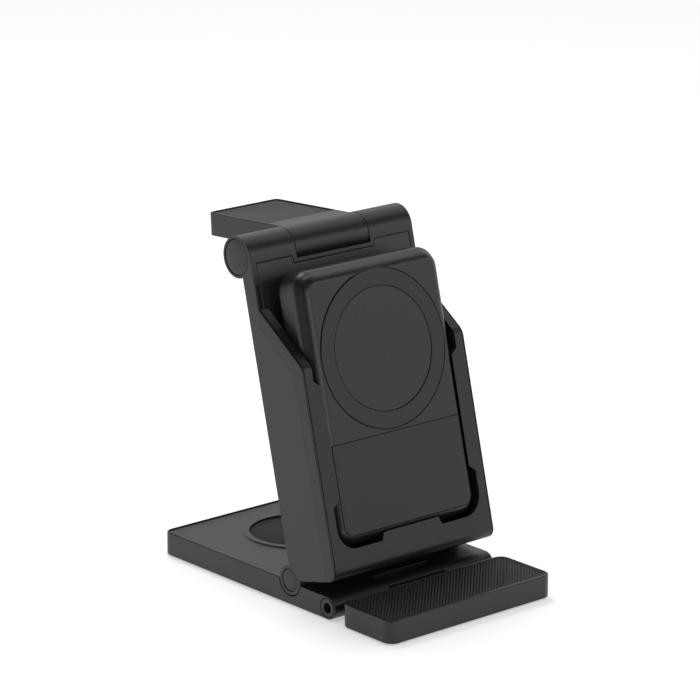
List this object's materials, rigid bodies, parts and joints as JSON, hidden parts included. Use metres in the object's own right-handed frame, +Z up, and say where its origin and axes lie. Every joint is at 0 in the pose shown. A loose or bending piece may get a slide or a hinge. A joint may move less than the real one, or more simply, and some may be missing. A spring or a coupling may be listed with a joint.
{
  "type": "wireless charging stand",
  "caption": "Folding wireless charging stand: flat base with an earbud spot, leaning upright with a slide-in power bank for a phone, watch wing on top and ribbed shelf in front.",
  "frame": {"origin": "on the desk, in the middle of the footprint of the opened stand", "axes": "+Z up, front towards -Y, +X to the right of someone facing the front"},
  "size_m": [0.076, 0.1258, 0.1276],
  "materials": {
    "shell": "fine-grained charcoal plastic",
    "bezel": "smooth charcoal plastic",
    "lid": "fine-grained charcoal plastic",
    "caps": "smooth charcoal plastic",
    "bank": "fine-grained charcoal plastic",
    "inlay": "smooth matte charcoal sheet",
    "pad": "matte black rubber",
    "steel": "ground steel",
    "copper": "wound copper wire",
    "ferrite": "dull grey ferrite",
    "magnet": "nickel-plated magnets",
    "board": "green circuit board",
    "socket": "drawn steel",
    "cell": "foil pouch"
  },
  "bodies": {
    "base": {"base_shell": "shell", "base_lid": "lid", "earbud_pad": "inlay", "base_coil": "copper", "base_ferrite": "ferrite", "base_board": "board", "base_socket": "socket", "base_sole": "pad", "base_screws": "steel", "hinge_shaft": "steel", "front_bushes": "caps", "front_pin": "steel"},
    "arm": {"arm_rear_shell": "shell", "arm_bezel": "bezel", "arm_front_plate": "lid", "arm_screws": "steel", "arm_board": "board", "dock_pad": "lid", "dock_magnets": "magnet", "dock_coil": "copper", "dock_ferrite": "ferrite", "dock_board": "board", "barrel_caps": "caps", "hinge_caps": "caps", "wing_shaft": "steel"},
    "wing": {"wing_shell": "shell", "wing_lid": "lid", "watch_coil": "copper", "watch_magnet": "magnet", "watch_board": "board"},
    "shelf": {"shelf_tray": "shell", "shelf_pad": "pad", "shelf_cover": "shell", "shelf_foot": "pad"},
    "bank": {"bank_case": "bank", "bank_cover": "bank", "bank_ring": "inlay", "bank_panel": "inlay", "bank_magnets": "magnet", "bank_coil": "copper", "bank_ferrite": "ferrite", "bank_rear_coil": "copper", "bank_cell": "cell", "bank_board": "board", "bank_socket": "socket"}
  },
  "joints": [
    {"name": "arm_fold", "type": "hinge", "parent": "base", "child": "arm", "pos_m": [0, -0.00893, 0.00934], "axis": [-1, 0, 0], "range_deg": [0, 76.2]},
    {"name": "wing_fold", "type": "hinge", "parent": "arm", "child": "wing", "pos_m": [0, 0.019, 0.12008], "axis": [-1, 0, 0], "range_deg": [0, 100.3]},
    {"name": "shelf_fold", "type": "hinge", "parent": "base", "child": "shelf", "pos_m": [0, -0.02898, 0.0045], "axis": [-1, 0, 0], "range_deg": [0, 40]},
    {"name": "bank_slide", "type": "slide", "parent": "arm", "child": "bank", "axis": [0, 0.2385, 0.9711], "range_m": [0, 0.1]}
  ]
}
